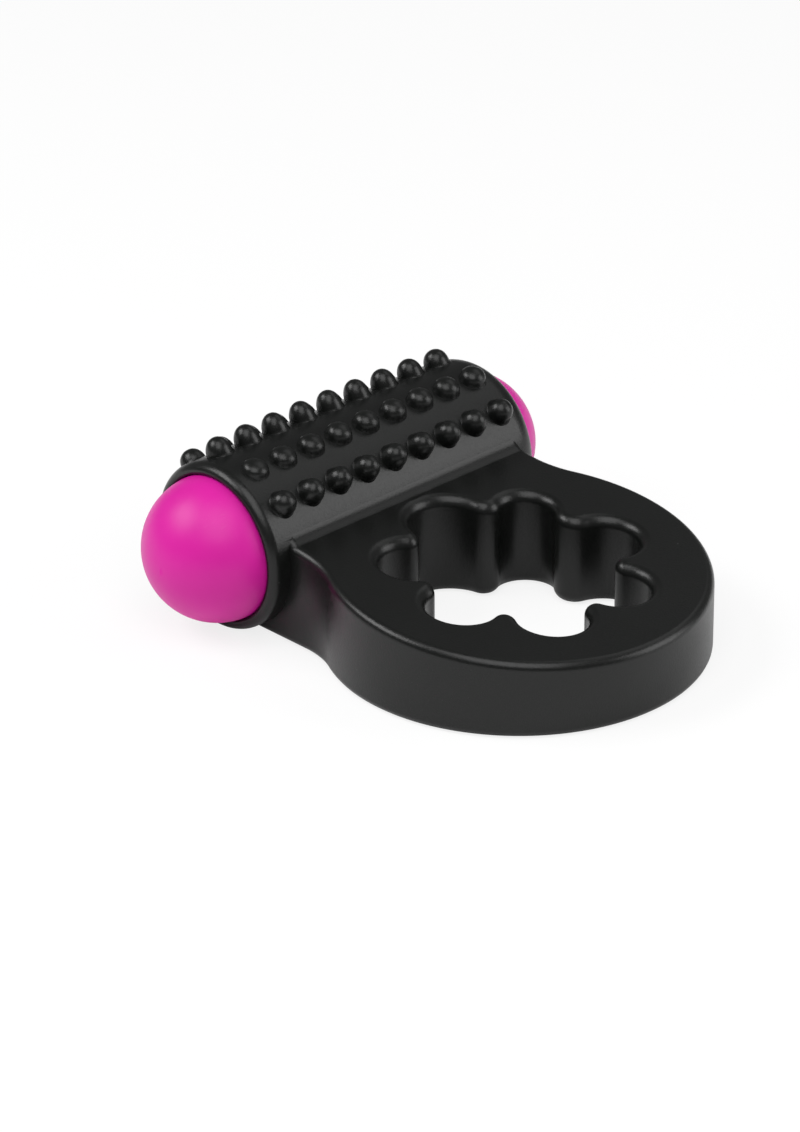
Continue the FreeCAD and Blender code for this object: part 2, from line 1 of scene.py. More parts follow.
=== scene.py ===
# %% [markdown]
# A ring massager is two things in one: a black silicone sleeve, moulded in one shot, and a pink
# plastic capsule pushed through its barrel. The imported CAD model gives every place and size, so
# it is loaded first and nothing in it is moved. The pieces that follow are built around it.

# %% Load the frame
import json
import math

import bpy
from mathutils import Matrix, Vector


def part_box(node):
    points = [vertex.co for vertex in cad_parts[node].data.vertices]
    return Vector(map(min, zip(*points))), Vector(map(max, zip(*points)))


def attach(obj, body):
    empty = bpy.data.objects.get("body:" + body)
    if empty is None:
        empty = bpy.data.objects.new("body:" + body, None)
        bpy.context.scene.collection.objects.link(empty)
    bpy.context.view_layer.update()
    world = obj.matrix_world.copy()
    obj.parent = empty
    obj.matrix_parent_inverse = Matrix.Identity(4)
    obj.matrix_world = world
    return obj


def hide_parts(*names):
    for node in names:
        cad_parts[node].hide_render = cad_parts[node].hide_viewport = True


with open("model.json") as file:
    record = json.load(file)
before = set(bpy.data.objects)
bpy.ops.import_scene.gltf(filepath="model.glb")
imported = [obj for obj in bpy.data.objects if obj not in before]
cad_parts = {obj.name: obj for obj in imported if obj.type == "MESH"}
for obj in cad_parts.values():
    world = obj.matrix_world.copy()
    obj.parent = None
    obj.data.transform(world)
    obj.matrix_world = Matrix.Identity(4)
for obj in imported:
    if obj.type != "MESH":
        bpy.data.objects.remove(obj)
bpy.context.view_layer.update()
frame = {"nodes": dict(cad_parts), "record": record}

# %% [markdown]
# The soft sleeve is modelled in millimetres and brought down to metres when it is done. Small
# numbers near the limit of Blender's merge distances make booleans and bevels unreliable, and
# working a thousand times larger avoids that. The capsule's box gives the barrel's axis, and the
# sleeve's box the ring's radius and the barrel's.

# %% Sizes of the sleeve, in millimetres
MM = 1000
BORE_CLEARANCE = 0.05


def barrel_half_length():
    """The barrel is as long as the sleeve's vertices reach behind the capsule's axis."""
    body = frame["nodes"]["ring_sleeve"].data.vertices
    return max(corner.co.x for corner in body if corner.co.y * MM > AXIS_Y) * MM


shell_low, shell_high = (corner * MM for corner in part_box("capsule_shell"))
sleeve_low, sleeve_high = (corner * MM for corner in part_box("ring_sleeve"))
AXIS_Y = (shell_low.y + shell_high.y) / 2
AXIS_Z = (shell_low.z + shell_high.z) / 2
CAPSULE_RADIUS = (shell_high.z - shell_low.z) / 2
RING_RADIUS = -sleeve_low.y
BARREL_RADIUS = sleeve_high.y - AXIS_Y
BARREL_HALF = barrel_half_length()
BORE_RADIUS = CAPSULE_RADIUS + BORE_CLEARANCE
print("barrel axis at y %.2f z %.2f, radius %.2f" % (AXIS_Y, AXIS_Z, BARREL_RADIUS))


# %% [markdown]
# Three habits keep scripted modelling tidy. Everything is deselected before a primitive is added,
# because most operators act on all that is selected. An object is made active before its modes
# or modifiers are used. And a boolean's second object is deleted as soon as it has done its work.

# %% Helpers for selecting, cutting and joining
def deselect():
    if bpy.context.object and bpy.context.object.mode != "OBJECT":
        bpy.ops.object.mode_set(mode="OBJECT")
    bpy.ops.object.select_all(action="DESELECT")


def pick(piece):
    deselect()
    piece.select_set(True)
    bpy.context.view_layer.objects.active = piece
    return piece


def edit(piece, action="SELECT"):
    """Go into edit mode on one piece, with all of it selected or none of it."""
    pick(piece)
    bpy.ops.object.mode_set(mode="EDIT")
    bpy.ops.mesh.select_all(action=action)


def leave_edit():
    bpy.ops.object.mode_set(mode="OBJECT")


def named(name):
    piece = bpy.context.object
    piece.name = name
    piece.data.name = name
    return piece


def settle(piece):
    """Put the object's place, turn and scale into its mesh."""
    pick(piece)
    bpy.ops.object.transform_apply(location=True, rotation=True, scale=True)
    return piece


def combine(piece, tool, operation):
    """Boolean with a second object, which is used up."""
    pick(piece)
    step = piece.modifiers.new("combine", "BOOLEAN")
    step.object = tool
    step.operation = operation
    step.solver = "EXACT"
    bpy.ops.object.modifier_apply(modifier=step.name)
    bpy.data.objects.remove(tool, do_unlink=True)
    print("%s %s: %d faces" % (piece.name, operation.lower(), len(piece.data.polygons)))


def merge_close(piece, distance=0.001):
    edit(piece)
    bpy.ops.mesh.remove_doubles(threshold=distance)
    bpy.ops.mesh.normals_make_consistent(inside=False)
    leave_edit()


# %% [markdown]
# The ring's plan is made of arcs: seven scallops, seven tongues between them, the outer circle
# and two hollow curves that run into the web. A modeller draws such a line by spinning one
# vertex round a centre, then the new end round the next centre. Drawn that way each arc is
# tangent to the next. The line is then filled and extruded into a solid.

# %% Draw with a spinning vertex
def start_line(name, point):
    """One vertex to draw with: a plane whose corners are merged, then moved to its place."""
    deselect()
    bpy.ops.mesh.primitive_plane_add(size=1, location=(0, 0, 0))
    line = named(name)
    edit(line)
    bpy.ops.mesh.merge(type="CENTER")
    bpy.ops.transform.translate(value=point)
    return line


def arc(centre, degrees, steps, axis=(0, 0, 1)):
    """Carry the line's end round a centre. Counter-clockwise, seen against the axis, is above 0."""
    bpy.ops.mesh.spin(steps=steps, angle=-math.radians(degrees), center=centre, axis=axis,
                      use_auto_merge=False)


def extrude_by(offset):
    bpy.ops.mesh.extrude_region_move(TRANSFORM_OT_translate={"value": offset})


def fill_and_extrude(line, offset):
    """Close the drawn line, fill it and make it a solid."""
    bpy.ops.mesh.select_all(action="SELECT")
    bpy.ops.mesh.remove_doubles(threshold=0.001)
    bpy.ops.mesh.edge_face_add()
    extrude_by(offset)
    bpy.ops.mesh.select_all(action="SELECT")
    bpy.ops.mesh.normals_make_consistent(inside=False)
    leave_edit()
    return settle(line)


def polar(radius, degrees, height=0):
    angle = math.radians(degrees)
    return Vector((radius * math.cos(angle), radius * math.sin(angle), height))


# %% [markdown]
# The ring and its web are one flat slab. Its outline leaves the barrel, curves out along a hollow
# blend, goes three quarters round the ring and comes back by the other blend. The top of the
# slab slopes up towards the barrel, so the extrusion is made too tall and then cut with bisect.

# %% The slab: ring and web
RING_HEIGHT = 10.0
TOP_SLOPE = math.tan(math.radians(5.6))
UNCUT_HEIGHT = 16
WEB_HALF = 17.05
WEB_BLEND = 11.0
BLEND_STEPS = 20
RING_STEPS = 220
blend_y = math.sqrt((RING_RADIUS + WEB_BLEND) ** 2 - (WEB_HALF + WEB_BLEND) ** 2)
blend_turn = math.degrees(math.atan2(blend_y, WEB_HALF + WEB_BLEND))
slab = start_line("moulded_sleeve", (-WEB_HALF, AXIS_Y, 0))
extrude_by((0, blend_y - AXIS_Y, 0))
arc((-WEB_HALF - WEB_BLEND, blend_y, 0), -blend_turn, BLEND_STEPS)
arc((0, 0, 0), 180 + 2 * blend_turn, RING_STEPS)
arc((WEB_HALF + WEB_BLEND, blend_y, 0), -blend_turn, BLEND_STEPS)
extrude_by((0, AXIS_Y - blend_y, 0))
fill_and_extrude(slab, (0, 0, UNCUT_HEIGHT))
edit(slab)
bpy.ops.mesh.bisect(plane_co=(0, 0, RING_HEIGHT), plane_no=(0, -TOP_SLOPE, 1), use_fill=True,
                    clear_outer=True)
leave_edit()
print("slab:", len(slab.data.polygons), "faces")


# %% [markdown]
# The hole is the slab's flower: seven scallops, each a wide arc, and between them seven tongues,
# each a tight arc that touches the scallops beside it. On the real one the scallops are not
# quite alike, so each has its own small turn, distance from the middle and radius. Where a
# tongue's centre lies then follows from the two scallops beside it, as the tip of a triangle
# whose sides are known.

# %% Where the scallops and tongues lie
SPARE = 1
SCALLOPS = ((-0.8, 10.15, 4.35), (0, 10.8, 3.7), (0, 10.8, 3.7), (0, 10.8, 3.7), (0, 10.8, 3.7),
            (-0.1, 10.93, 3.68), (1.2, 10.78, 2.97))
TONGUES = (1.4, 1.37, 1.37, 1.37, 1.37, 2.3, 1.83)


def touching(first, first_radius, second, second_radius, radius):
    """Centre of the arc outside two scallops that touches both."""
    gap = (second - first).length
    near, far = first_radius + radius, second_radius + radius
    along = (near ** 2 - far ** 2 + gap ** 2) / (2 * gap)
    out = math.sqrt(near ** 2 - along ** 2)
    ahead = (second - first) / gap
    return first + ahead * along + Vector((ahead.y, -ahead.x, 0)) * out


def heading(origin, target):
    return math.degrees(math.atan2(target.y - origin.y, target.x - origin.x))


step = 360 / len(SCALLOPS)
scallops = [polar(far, 90 + n * step + turn, -SPARE)
            for n, (turn, far, radius) in enumerate(SCALLOPS)]
radii = [radius for turn, far, radius in SCALLOPS]
tongues = []
for n, radius in enumerate(TONGUES):
    after = (n + 1) % len(SCALLOPS)
    tongues.append(touching(scallops[n], radii[n], scallops[after], radii[after], radius))
    print("tongue %d reaches in to %.2f mm" % (n, tongues[n].xy.length - radius))

# %% [markdown]
# The outline starts where the first scallop leaves the last tongue and goes once round, scallop
# and tongue by turns. The cutter stands a little way out of the slab at the top and the bottom,
# because a boolean is unreliable where two faces lie in one plane.

# %% Cut the hole
SCALLOP_STEPS = 42
TONGUE_STEPS = 18
cutter = start_line("hole_cutter", scallops[0] + (tongues[-1] - scallops[0]).normalized()
                    * radii[0])
for n, (scallop, tongue) in enumerate(zip(scallops, tongues)):
    before, after = tongues[n - 1], scallops[(n + 1) % len(SCALLOPS)]
    arc(scallop, (heading(scallop, tongue) - heading(scallop, before)) % 360, SCALLOP_STEPS)
    arc(tongue, (heading(tongue, after) - heading(tongue, scallop)) % 360 - 360, TONGUE_STEPS)
fill_and_extrude(cutter, (0, 0, UNCUT_HEIGHT + 2 * SPARE))
combine(slab, cutter, "DIFFERENCE")


# %% [markdown]
# Soft moulded parts have no sharp rims: the mould is rounded there so that the rubber lets go.
# Region to loop turns the selected flat faces into their outlines, which a bevel then rounds.
# The hole's rims get a wider round than the outside, because they are stretched over skin.

# %% Round the rims of the slab
def bevel_flat_rims(piece, is_flat, width, steps, fullness=0.5, wanted=lambda middle: True):
    """Round those wanted of the outlines of flat faces. 0.5 is an arc, and 0.25 a flat."""
    edit(piece)
    bpy.ops.mesh.select_mode(type="FACE")
    bpy.ops.mesh.select_all(action="DESELECT")
    leave_edit()
    for face in piece.data.polygons:
        face.select = is_flat(face)
    bpy.ops.object.mode_set(mode="EDIT")
    bpy.ops.mesh.region_to_loop()
    leave_edit()
    for edge in piece.data.edges:
        first, last = (piece.data.vertices[end].co for end in edge.vertices)
        edge.select = edge.select and wanted((first + last) / 2)
    bpy.ops.object.mode_set(mode="EDIT")
    bpy.ops.mesh.bevel(offset=width, segments=steps, profile=fullness, affect="EDGES",
                       clamp_overlap=False, loop_slide=False)
    bpy.ops.mesh.select_mode(type="VERT")
    leave_edit()


def faces_up_or_down(face):
    return abs(face.normal.z) > 0.9


RIM_ROUND = 0.9
HOLE_ROUND = 1.2
HOLE_ZONE = 16.5
merge_close(slab)
bevel_flat_rims(slab, faces_up_or_down, RIM_ROUND, steps=6,
                wanted=lambda middle: middle.xy.length > HOLE_ZONE)
bevel_flat_rims(slab, faces_up_or_down, HOLE_ROUND, steps=8,
                wanted=lambda middle: middle.xy.length < HOLE_ZONE)
print("slab with round rims:", len(slab.data.polygons), "faces")


# %% [markdown]
# Where the web runs into the barrel the mould has a hollow round instead of a corner. A bevel
# can't make it on so fine a cylinder, so it is a strip of its own: one hollow arc that touches
# the web's slope and the barrel, drawn from the side and extruded along the barrel. It is sunk
# a hair into both, and the rest of its outline is buried in them.

# %% The hollow strip between web and barrel
HOLLOW = 2.0
HOLLOW_STEPS = 10
SINK = 0.02
HAIR = 0.01
DOWN_IN_BARREL = (0, 0.3, -4)
BACK_IN_WEB = (0, -2.2, 0)
slope = math.atan(TOP_SLOPE)
reach = BARREL_RADIUS + HOLLOW - SINK
rise = RING_HEIGHT - AXIS_Z + AXIS_Y * TOP_SLOPE
hollow_angle = math.asin((HOLLOW - SINK + rise * math.cos(slope)) / reach) - slope
hollow_centre = Vector((0, AXIS_Y - reach * math.cos(hollow_angle),
                        AXIS_Z + reach * math.sin(hollow_angle)))
strip_end = WEB_HALF - HAIR
foot = Vector((-strip_end, hollow_centre.y + HOLLOW * math.sin(slope),
               hollow_centre.z - HOLLOW * math.cos(slope)))
strip = start_line("hollow_strip", foot)
arc((-strip_end, hollow_centre.y, hollow_centre.z), 90 - math.degrees(slope + hollow_angle),
    HOLLOW_STEPS, axis=(1, 0, 0))
extrude_by(DOWN_IN_BARREL)
extrude_by(BACK_IN_WEB)
fill_and_extrude(strip, (2 * strip_end, 0, 0))
bevel_flat_rims(strip, lambda face: abs(face.normal.x) > 0.9, RIM_ROUND, steps=6)
combine(slab, strip, "UNION")


# %% [markdown]
# The barrel is a thick tube. It starts as a cylinder laid along X, whose two rims are rounded
# and then stretched along the barrel into soft lips. Each side has its lip's round and stretch,
# and the lip on the cap's side is the wider and longer one. The underside is cut flat, a hair
# above the slab's, so that the whole sleeve stands on a table.

# %% The barrel
LIPS = {-1: (0.84, 1.3), 1: (1.12, 2.0)}
BARREL_SIDES = 192


def rod(name, radius, length):
    """A cylinder on the capsule's axis."""
    deselect()
    bpy.ops.mesh.primitive_cylinder_add(vertices=BARREL_SIDES, radius=radius, depth=length,
                                        location=(0, AXIS_Y, AXIS_Z),
                                        rotation=(0, math.pi / 2, 0))
    return settle(named(name))


barrel = rod("barrel", BARREL_RADIUS, 2 * BARREL_HALF)
for side, (lip, stretch) in LIPS.items():
    bevel_flat_rims(barrel, lambda face: face.normal.x * side > 0.9, lip, steps=9, fullness=0.46)
    edit(barrel, "DESELECT")
    leave_edit()
    for corner in barrel.data.vertices:
        corner.select = corner.co.x * side > BARREL_HALF - lip - HAIR
    bpy.ops.object.mode_set(mode="EDIT")
    bpy.ops.transform.resize(value=(stretch, 1, 1),
                             center_override=(side * BARREL_HALF, AXIS_Y, AXIS_Z))
    leave_edit()
edit(barrel)
bpy.ops.mesh.bisect(plane_co=(0, 0, HAIR), plane_no=(0, 0, 1), use_fill=True, clear_inner=True)
leave_edit()
combine(slab, barrel, "UNION")


# %% [markdown]
# The nubs are small pegs in rows along the barrel, in two shapes: tall bullets, and low broad
# domes in the inner row on the ring's side. Each is shaped as by hand: a disc is pulled up in
# steps and scaled at each step, from a flared foot to a round tip. A step is a radius and a
# height over the barrel, and the foot starts below it, inside the wall.

# %% Two nubs
TALL_STEPS = [(1.48, 0.02), (1.44, 0.12), (1.41, 0.33), (1.36, 0.62), (1.26, 0.92),
              (1.12, 1.19), (0.93, 1.42), (0.71, 1.60), (0.45, 1.73), (0.17, 1.79)]
LOW_STEPS = [(1.52, 0.02), (1.48, 0.12), (1.44, 0.28), (1.38, 0.50), (1.27, 0.70),
             (1.11, 0.87), (0.91, 1.00), (0.68, 1.10), (0.42, 1.17), (0.17, 1.20)]
NUB_FOOT = (1.7, -0.4)
NUB_SIDES = 28


def shape_nub(name, steps):
    radius, height = NUB_FOOT
    deselect()
    bpy.ops.mesh.primitive_circle_add(vertices=NUB_SIDES, radius=radius, fill_type="NGON",
                                      location=(0, 0, height))
    nub = named(name)
    edit(nub)
    for wide, high in steps:
        extrude_by((0, 0, high - height))
        bpy.ops.transform.resize(value=(wide / radius, wide / radius, 1))
        radius, height = wide, high
    bpy.ops.mesh.select_all(action="SELECT")
    bpy.ops.mesh.normals_make_consistent(inside=False)
    leave_edit()
    return settle(nub)


tall_nub = shape_nub("tall_nub", TALL_STEPS)
low_nub = shape_nub("low_nub", LOW_STEPS)
print("one nub:", len(tall_nub.data.polygons), "faces")

# %% [markdown]
# The other nubs are copies, turned about the barrel's axis. Hand-cut moulds are never quite
# even: each row is tallest in the middle and falls off towards the lips, the low row grows
# along the barrel, and the crest row leans a little. So a row is given by its angle, its nub,
# how much its middle and end nubs are stretched, how that grows from the row's middle to its
# far end, and its lean.

# %% Four rows of nine
NUB_PITCH = 3.98
NUBS_IN_ROW = 9
ROWS = ((-47.3, tall_nub, 1.00, 0.90, 0, 0), (-17.2, tall_nub, 1.12, 0.98, -0.05, -7),
        (17.2, low_nub, 1.16, 0.98, 0.14, 0), (47.3, tall_nub, 1.08, 0.95, 0, 0))


def nub_copy(row_angle, nub, middle_stretch, end_stretch, growth, lean, number):
    copy = nub.copy()
    copy.data = nub.data.copy()
    bpy.context.collection.objects.link(copy)
    step = number - (NUBS_IN_ROW - 1) / 2
    share = 2 * step / (NUBS_IN_ROW - 1)
    stretch = middle_stretch + (end_stretch - middle_stretch) * share ** 2 + growth * share
    stand = Matrix.Translation((step * NUB_PITCH, AXIS_Y, AXIS_Z))
    turned = Matrix.Rotation(math.radians(row_angle), 4, "X")
    lift = Matrix.Translation((0, 0, BARREL_RADIUS))
    tipped = Matrix.Rotation(math.radians(lean), 4, "Y")
    copy.matrix_world = stand @ turned @ lift @ tipped @ Matrix.Diagonal((1, 1, stretch, 1))
    return settle(copy)


copies = [nub_copy(*row, number) for row in ROWS for number in range(NUBS_IN_ROW)]
for nub in (tall_nub, low_nub):
    bpy.data.objects.remove(nub, do_unlink=True)
pick(copies[0])
for copy in copies:
    copy.select_set(True)
bpy.ops.object.join()
combine(slab, bpy.context.object, "UNION")
print(len(copies), "nubs")


# %% [markdown]
# The bore grips the capsule along its whole length. It is cut with a plain rod. The inner edge
# of each lip is then rounded over what the outer round has left of the flat end, but for a
# narrow crest, which makes the lip a full bead.

# %% The bore
CREST = 0.03
NEAR_BORE = BORE_RADIUS + 0.05


def beside_bore(middle):
    return math.hypot(middle.y - AXIS_Y, middle.z - AXIS_Z) < NEAR_BORE


combine(slab, rod("bore_cutter", BORE_RADIUS, 2 * BARREL_HALF + 2 * SPARE), "DIFFERENCE")
merge_close(slab)
for side, (lip, _) in LIPS.items():
    bevel_flat_rims(slab, lambda face: face.normal.x * side > 0.999
                    and face.center.x * side > BARREL_HALF - HAIR,
                    BARREL_RADIUS - lip - CREST - BORE_RADIUS, steps=6, wanted=beside_bore)
print("sleeve with its bore:", len(slab.data.polygons), "faces")


# %% [markdown]
# Flat faces beside fine rounds shade badly when every corner has the same say in its normal. The
# weighted normal modifier lets the large faces decide, so the flats stay flat.

# %% Finish the sleeve and bring it to metres
def finish_shape(piece, smooth_below):
    """Merge, scale to metres and shade. Edges sharper than the angle, in degrees, stay sharp."""
    merge_close(piece, 0.0005)
    piece.scale = (1 / MM, 1 / MM, 1 / MM)
    settle(piece)
    bpy.ops.object.shade_smooth_by_angle(angle=math.radians(smooth_below))
    step = piece.modifiers.new("even_shading", "WEIGHTED_NORMAL")
    step.keep_sharp = True
    step.weight = 80
    bpy.ops.object.modifier_apply(modifier=step.name)
    count = sum(len(face.vertices) - 2 for face in piece.data.polygons)
    print("%s: %d triangles" % (piece.name, count))
    return piece


sleeve = finish_shape(slab, 35)
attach(sleeve, "sleeve")
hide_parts("ring_sleeve")


# %% [markdown]
# The cap screws into the capsule on a short spigot. Its thread is one low ridge that climbs 2 mm
# a turn. It is the shape that the Screw modifier makes: a small profile, turned and carried
# along the axis. It only shows when the cap is unscrewed.

# %% The thread's profile
THREAD_START = 7.35
THREAD_ROOT = 6.55
THREAD_CREST = 6.93
THREAD_FLANK = 0.28
THREAD_FLAT = 0.34
ridge = THREAD_CREST - THREAD_ROOT
thread = start_line("cap_thread", (THREAD_START, AXIS_Y, AXIS_Z + THREAD_ROOT))
for offset in ((THREAD_FLANK, 0, ridge), (THREAD_FLAT, 0, 0), (THREAD_FLANK, 0, -ridge)):
    extrude_by(offset)
bpy.ops.mesh.select_all(action="SELECT")
bpy.ops.mesh.edge_face_add()
leave_edit()
print("thread profile: %.2f mm wide, %.2f mm high" % (2 * THREAD_FLANK + THREAD_FLAT, ridge))

# %% [markdown]
# An empty on the capsule's axis tells the modifier what to turn about. It is deleted once the
# modifier is applied. The ridge's two open ends are closed afterwards.

# %% Turn the profile into a thread
THREAD_PITCH = 2.0
THREAD_TURNS = 1.6
axis_mark = bpy.data.objects.new("axis_mark", None)
axis_mark.location = (0, AXIS_Y, AXIS_Z)
bpy.context.collection.objects.link(axis_mark)
pick(thread)
turn = thread.modifiers.new("turn", "SCREW")
turn.axis = "X"
turn.object = axis_mark
turn.angle = THREAD_TURNS * 2 * math.pi
turn.screw_offset = THREAD_PITCH * THREAD_TURNS
turn.steps = turn.render_steps = 128
turn.use_smooth_shade = True
bpy.ops.object.modifier_apply(modifier=turn.name)
bpy.data.objects.remove(axis_mark, do_unlink=True)
settle(thread)
edit(thread)
bpy.ops.mesh.remove_doubles(threshold=0.001)
bpy.ops.mesh.fill_holes(sides=8)
leave_edit()
finish_shape(thread, 50)
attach(thread, "cap")


# %% [markdown]
# A material here is a small tree of nodes. One helper adds a node, sets it and wires it, so that
# the cells below read like a list of what goes into what. Patterns use Object coordinates: each
# piece's object sits at the origin, so they are metres in the same frame for every piece.

# %% Helpers for materials
def put(tree, kind, inputs=None, **settings):
    """Add a node, set its properties, then link or set its inputs."""
    made = tree.nodes.new(kind if kind.startswith("Node") else "ShaderNode" + kind)
    for key, value in settings.items():
        setattr(made, key, value)
    for key, value in (inputs or {}).items():
        if isinstance(value, bpy.types.NodeSocket):
            tree.links.new(value, made.inputs[key])
        else:
            made.inputs[key].default_value = value
    return made


def new_group(name, inputs, outputs):
    """A node group with named sockets; returns its tree, its input node and its output node."""
    tree = bpy.data.node_groups.new(name, "ShaderNodeTree")
    for label, kind, value in inputs:
        socket = tree.interface.new_socket(label, in_out="INPUT", socket_type="NodeSocket" + kind)
        if value is not None:
            socket.default_value = value
    for label, kind in outputs:
        tree.interface.new_socket(label, in_out="OUTPUT", socket_type="NodeSocket" + kind)
    return tree, put(tree, "NodeGroupInput"), put(tree, "NodeGroupOutput")


def ramp(tree, value, stops):
    """A colour ramp of grey levels: stops are (place, level)."""
    made = put(tree, "ValToRGB", {"Fac": value})
    elements = made.color_ramp.elements
    while len(elements) < len(stops):
        elements.new(0.5)
    for element, (place, level) in zip(elements, stops):
        element.position = place
        element.color = (level, level, level, 1)
    return made.outputs["Color"]


def blend_colours(tree, mask, first, second):
    made = put(tree, "Mix", data_type="RGBA")
    for socket, value in ((0, mask), (6, first), (7, second)):
        if isinstance(value, bpy.types.NodeSocket):
            tree.links.new(value, made.inputs[socket])
        else:
            made.inputs[socket].default_value = value if socket == 0 else (*value, 1)
    return made.outputs[2]


# %% [markdown]
# Moulded parts copy the skin of their mould: a fine spark-eroded grain over slow, faint waves.
# That effect is wanted on the silicone and on the plastics, so it is one node group with its
# own values in each material. Grain is its height and Cloud is the slow change over the part.

# %% Group: mould grain
tree, given, result = new_group(
    "mould_grain",
    [("Place", "Vector", None), ("Grains per metre", "Float", 9000.0),
     ("Clouds per metre", "Float", 120.0)],
    [("Grain", "Float"), ("Cloud", "Float")])
pits = put(tree, "TexVoronoi", {"Vector": given.outputs["Place"],
                                "Scale": given.outputs["Grains per metre"]},
           feature="SMOOTH_F1")
frost = put(tree, "TexNoise", {"Vector": given.outputs["Place"],
                               "Scale": given.outputs["Grains per metre"], "Detail": 3.0})
grain = put(tree, "Math", {0: pits.outputs["Distance"], 1: frost.outputs["Fac"]},
            operation="MULTIPLY")
cloud = put(tree, "TexNoise", {"Vector": given.outputs["Place"],
                               "Scale": given.outputs["Clouds per metre"], "Detail": 2.0})
tree.links.new(grain.outputs[0], result.inputs["Grain"])
tree.links.new(cloud.outputs["Fac"], result.inputs["Cloud"])
mould_grain = tree

# %% [markdown]
# Dust shows on black rubber first: silicone is tacky and holds every speck. The group turns the
# cells of a Voronoi pattern into a few small dots, by keeping only the middle of some cells.

# %% Group: dust specks
tree, given, result = new_group(
    "dust_specks",
    [("Place", "Vector", None), ("Specks per metre", "Float", 700.0),
     ("Share", "Float", 0.15), ("Speck size", "Float", 0.09)],
    [("Mask", "Float")])
cells = put(tree, "TexVoronoi", {"Vector": given.outputs["Place"],
                                 "Scale": given.outputs["Specks per metre"]})
near = put(tree, "Math", {0: cells.outputs["Distance"], 1: given.outputs["Speck size"]},
           operation="LESS_THAN")
parts = put(tree, "SeparateColor", {"Color": cells.outputs["Color"]})
some = put(tree, "Math", {0: parts.outputs["Red"], 1: given.outputs["Share"]},
           operation="LESS_THAN")
mask = put(tree, "Math", {0: near.outputs[0], 1: some.outputs[0]}, operation="MULTIPLY")
tree.links.new(mask.outputs[0], result.inputs["Mask"])
dust_specks = tree

# %% [markdown]
# Turned and drawn metal keeps fine rings round its axis. The distance from the capsule's axis
# and the place along it drive a noise, which gives rings on the round faces and on the flat
# ends alike. Height is for the fine rings, and Tone for a broader change of colour.

# %% Group: turning marks
tree, given, result = new_group(
    "turning_marks",
    [("Place", "Vector", None), ("Marks per metre", "Float", 9000.0)],
    [("Height", "Float"), ("Tone", "Float")])
centred = put(tree, "Mapping", {"Vector": given.outputs["Place"],
                                "Location": (0, -AXIS_Y / MM, -AXIS_Z / MM)})
split = put(tree, "SeparateXYZ", {"Vector": centred.outputs["Vector"]})
flat = put(tree, "CombineXYZ", {"Y": split.outputs["Y"], "Z": split.outputs["Z"]})
out = put(tree, "VectorMath", {0: flat.outputs["Vector"]}, operation="LENGTH")
rings = put(tree, "CombineXYZ", {"X": split.outputs["X"], "Y": out.outputs["Value"]})
marks = put(tree, "TexNoise", {"Vector": rings.outputs["Vector"],
                               "Scale": given.outputs["Marks per metre"], "Detail": 2.0})
broad = put(tree, "TexNoise", {"Vector": rings.outputs["Vector"], "Scale": 900.0,
                               "Detail": 2.0})
tree.links.new(marks.outputs["Fac"], result.inputs["Height"])
tree.links.new(broad.outputs["Fac"], result.inputs["Tone"])
turning_marks = tree

# %% [markdown]
# Handled metal and plastic gather hairline scuffs, mostly in one direction. A noise that is
# squeezed across that direction gives the lines, and a second, broad one gathers them in patches.

# %% Group: hairline scuffs
tree, given, result = new_group(
    "hairline_scuffs",
    [("Place", "Vector", None), ("Scuffs per metre", "Float", 260.0), ("Amount", "Float", 0.5)],
    [("Mask", "Float")])
drawn = put(tree, "Mapping", {"Vector": given.outputs["Place"], "Rotation": (0.4, 0.7, 0.3),
                              "Scale": (1.0, 14.0, 14.0)})
lines = put(tree, "TexNoise", {"Vector": drawn.outputs["Vector"],
                               "Scale": given.outputs["Scuffs per metre"], "Detail": 4.0})
sharp = ramp(tree, lines.outputs["Fac"], [(0.60, 0.0), (0.68, 1.0)])
where = put(tree, "TexNoise", {"Vector": given.outputs["Place"], "Scale": 90.0})
patch = ramp(tree, where.outputs["Fac"], [(0.45, 0.0), (0.65, 1.0)])
both = put(tree, "Math", {0: sharp, 1: patch}, operation="MULTIPLY")
amount = put(tree, "Math", {0: both.outputs[0], 1: given.outputs["Amount"]},
             operation="MULTIPLY")
tree.links.new(amount.outputs[0], result.inputs["Mask"])
hairline_scuffs = tree
print("node groups:", [group.name for group in bpy.data.node_groups])


# %% [markdown]
# Every material begins the same way: a Principled shader, Object coordinates and an output. The
# constant things, such as sheen, coat and index of refraction, are set on the shader itself.

# %% Start a material
def start_material(name, **constants):
    made = bpy.data.materials.new(name)
    made.use_nodes = True
    tree = made.node_tree
    tree.nodes.clear()
    shader = put(tree, "BsdfPrincipled")
    for key, value in constants.items():
        shader.inputs[key.replace("_", " ")].default_value = value
    put(tree, "OutputMaterial", {"Surface": shader.outputs["BSDF"]})
    place = put(tree, "TexCoord").outputs["Object"]
    return made, tree, shader, place


def use(tree, group, place, **values):
    made = put(tree, "Group")
    made.node_tree = group
    tree.links.new(place, made.inputs["Place"])
    for key, value in values.items():
        made.inputs[key.replace("_", " ")].default_value = value
    return made.outputs


def scale_to(tree, value, low, high):
    """Stretch a 0 to 1 value onto a range."""
    made = put(tree, "MapRange", {"Value": value, "To Min": low, "To Max": high})
    return made.outputs["Result"]


def bump(tree, shader, height, strength, depth):
    made = put(tree, "Bump", {"Height": height, "Strength": strength, "Distance": depth})
    tree.links.new(made.outputs["Normal"], shader.inputs["Normal"])
